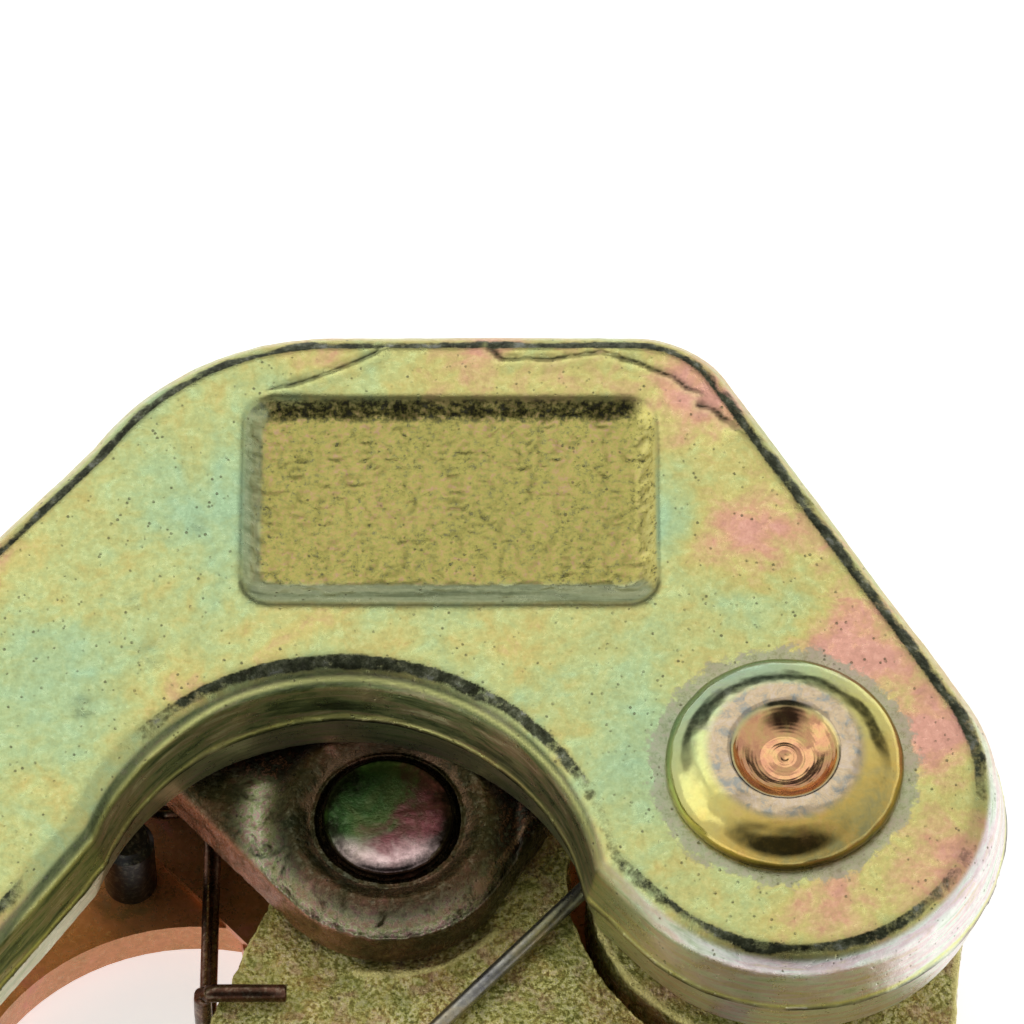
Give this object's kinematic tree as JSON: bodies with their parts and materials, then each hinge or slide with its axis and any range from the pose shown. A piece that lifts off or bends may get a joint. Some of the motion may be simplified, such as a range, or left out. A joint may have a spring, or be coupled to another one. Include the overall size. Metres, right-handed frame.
{
  "type": "come-along clamp",
  "caption": "Self-tightening wire-rope grip: forged boomerang lever, cast body with toothed jaws, torsion springs and a pulling eye.",
  "frame": {"origin": "centre of the pulling eye, on the rope's axis and half way through the eye's thickness", "axes": "+X along the rope from the pulling eye to the jaws, +Y from the fixed jaw to the lever's arch, +Z out of the front face"},
  "size_m": [0.219, 0.1234, 0.0401],
  "materials": {
    "zinc_forging": "iridescent yellow zinc",
    "rough_casting": "rough yellow zinc",
    "plated_sheet": "smooth orange-pink zinc",
    "bright_steel": "machined",
    "black_steel": "black oxide",
    "spring_steel": "drawn wire"
  },
  "bodies": {
    "body": {"body_casting": "rough_casting", "lower_jaw": "bright_steel", "lower_jaw_pins": "bright_steel", "body_link_pin": "bright_steel", "keeper_pin": "bright_steel", "keeper_spring": "spring_steel"},
    "lever": {"lever_forging": "zinc_forging", "front_cheek": "rough_casting", "rear_lever_plate": "plated_sheet", "main_rivet": "zinc_forging", "main_rivet_washer": "plated_sheet", "pivot_pin": "zinc_forging", "pivot_pin_washer": "plated_sheet", "spring_pin": "bright_steel", "closing_spring": "spring_steel", "jaw_spring": "spring_steel", "stop_stud": "black_steel", "spacer_studs": "bright_steel", "eye_rivet": "zinc_forging", "eye_rivet_washer": "plated_sheet", "eye_washers": "bright_steel"},
    "jaw": {"upper_jaw": "rough_casting", "jaw_link_pin": "bright_steel"},
    "link": {"guide_link": "plated_sheet"},
    "eye": {"pulling_link": "zinc_forging"},
    "keeper": {"wire_keeper": "plated_sheet"}
  },
  "joints": [
    {"name": "lever_pivot", "type": "hinge", "parent": "body", "child": "lever", "pos_m": [0.1227, 0.0573, 0], "axis": [0, 0, 1], "range_deg": [0, 28], "stiffness_Nm_per_rad": 0.6, "springref_deg": -34.38, "deforming": ["closing_spring", "jaw_spring"]},
    {"name": "upper_jaw_hinge", "type": "hinge", "parent": "lever", "child": "jaw", "pos_m": [0.15522, 0.05503, 0], "axis": [0, 0, 1], "range_deg": [-28, 0]},
    {"name": "guide_link_hinge", "type": "hinge", "parent": "body", "child": "link", "pos_m": [0.1237, 0.0438, 0], "axis": [0, 0, 1], "range_deg": [0, 28]},
    {"name": "pulling_link_swing", "type": "hinge", "parent": "lever", "child": "eye", "pos_m": [0.043, 0, 0], "axis": [0, 0, 1], "range_deg": [-60, 60]},
    {"name": "keeper_swing", "type": "hinge", "parent": "body", "child": "keeper", "pos_m": [0.18002, -0.0111, 0], "axis": [0, 0, 1], "range_deg": [-100, 0], "stiffness_Nm_per_rad": 0.02, "springref_deg": 34.38, "deforming": ["keeper_spring"]}
  ],
  "couplings": [
    {"joint": "upper_jaw_hinge", "follows": "lever_pivot", "ratio": -1},
    {"joint": "guide_link_hinge", "follows": "lever_pivot", "ratio": 1}
  ]
}
